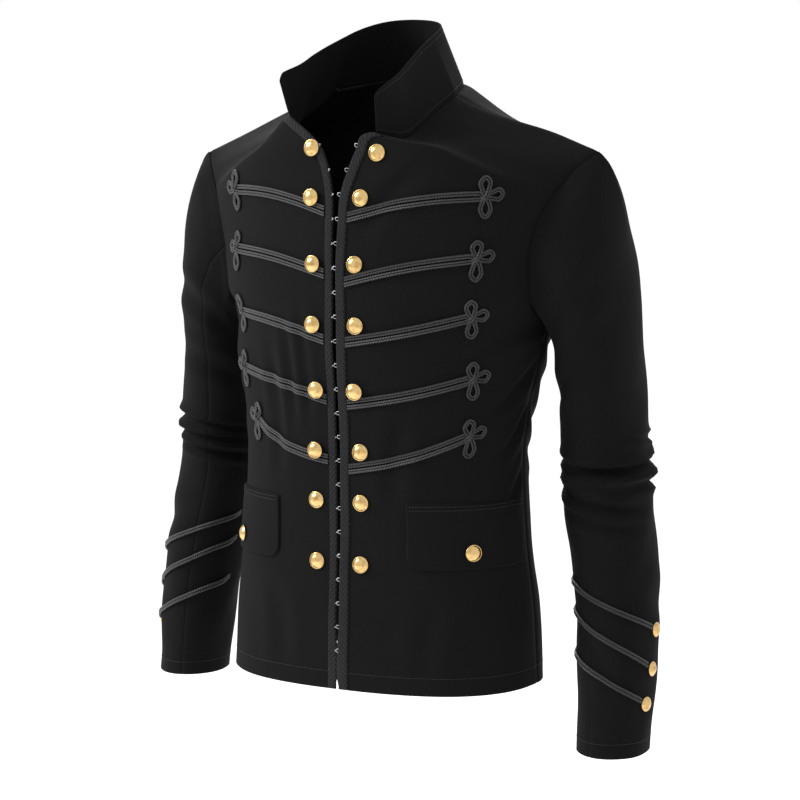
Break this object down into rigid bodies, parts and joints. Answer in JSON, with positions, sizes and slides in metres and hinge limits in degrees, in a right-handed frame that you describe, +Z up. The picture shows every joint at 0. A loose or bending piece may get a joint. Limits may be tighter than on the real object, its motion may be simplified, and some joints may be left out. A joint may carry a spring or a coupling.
{
  "type": "napoleon jacket",
  "caption": "Black military-style jacket with a tall open stand collar, hook-and-eye front, braid frogs, gilt domed buttons and braided cuffs, in its worn form.",
  "frame": {"origin": "between the shoulders, at the height of the sides of the neck, where the wearer holds it up", "axes": "+Z up, -Y out of the front, +X to the wearer's left"},
  "size_m": [0.6084, 0.2617, 0.7692],
  "materials": {
    "cloth": "matte",
    "braid": "satin",
    "tape": "matte",
    "gilt": "polished"
  },
  "bodies": {
    "root": {"back": "cloth", "button_left_1": "gilt", "button_left_2": "gilt", "button_left_3": "gilt", "button_left_4": "gilt", "button_left_5": "gilt", "button_left_6": "gilt", "button_left_7": "gilt", "button_left_8": "gilt", "button_right_1": "gilt", "button_right_2": "gilt", "button_right_3": "gilt", "button_right_4": "gilt", "button_right_5": "gilt", "button_right_6": "gilt", "button_right_7": "gilt", "button_right_8": "gilt", "collar": "cloth", "cuff_braid_left_1": "braid", "cuff_braid_left_2": "braid", "cuff_braid_left_3": "braid", "cuff_braid_right_1": "braid", "cuff_braid_right_2": "braid", "cuff_braid_right_3": "braid", "cuff_button_left_1": "gilt", "cuff_button_left_2": "gilt", "cuff_button_left_3": "gilt", "cuff_button_right_1": "gilt", "cuff_button_right_2": "gilt", "cuff_button_right_3": "gilt", "flap_button_left": "gilt", "flap_button_right": "gilt", "frog_left_1": "braid", "frog_left_2": "braid", "frog_left_3": "braid", "frog_left_4": "braid", "frog_left_5": "braid", "frog_right_1": "braid", "frog_right_2": "braid", "frog_right_3": "braid", "frog_right_4": "braid", "frog_right_5": "braid", "front_left": "cloth", "front_right": "cloth", "front_tape_left": "tape", "front_tape_right": "tape", "pocket_flap_left": "cloth", "pocket_flap_right": "cloth", "sleeve_top_left": "cloth", "sleeve_top_right": "cloth", "sleeve_under_left": "cloth", "sleeve_under_right": "cloth"}
  },
  "joints": []
}
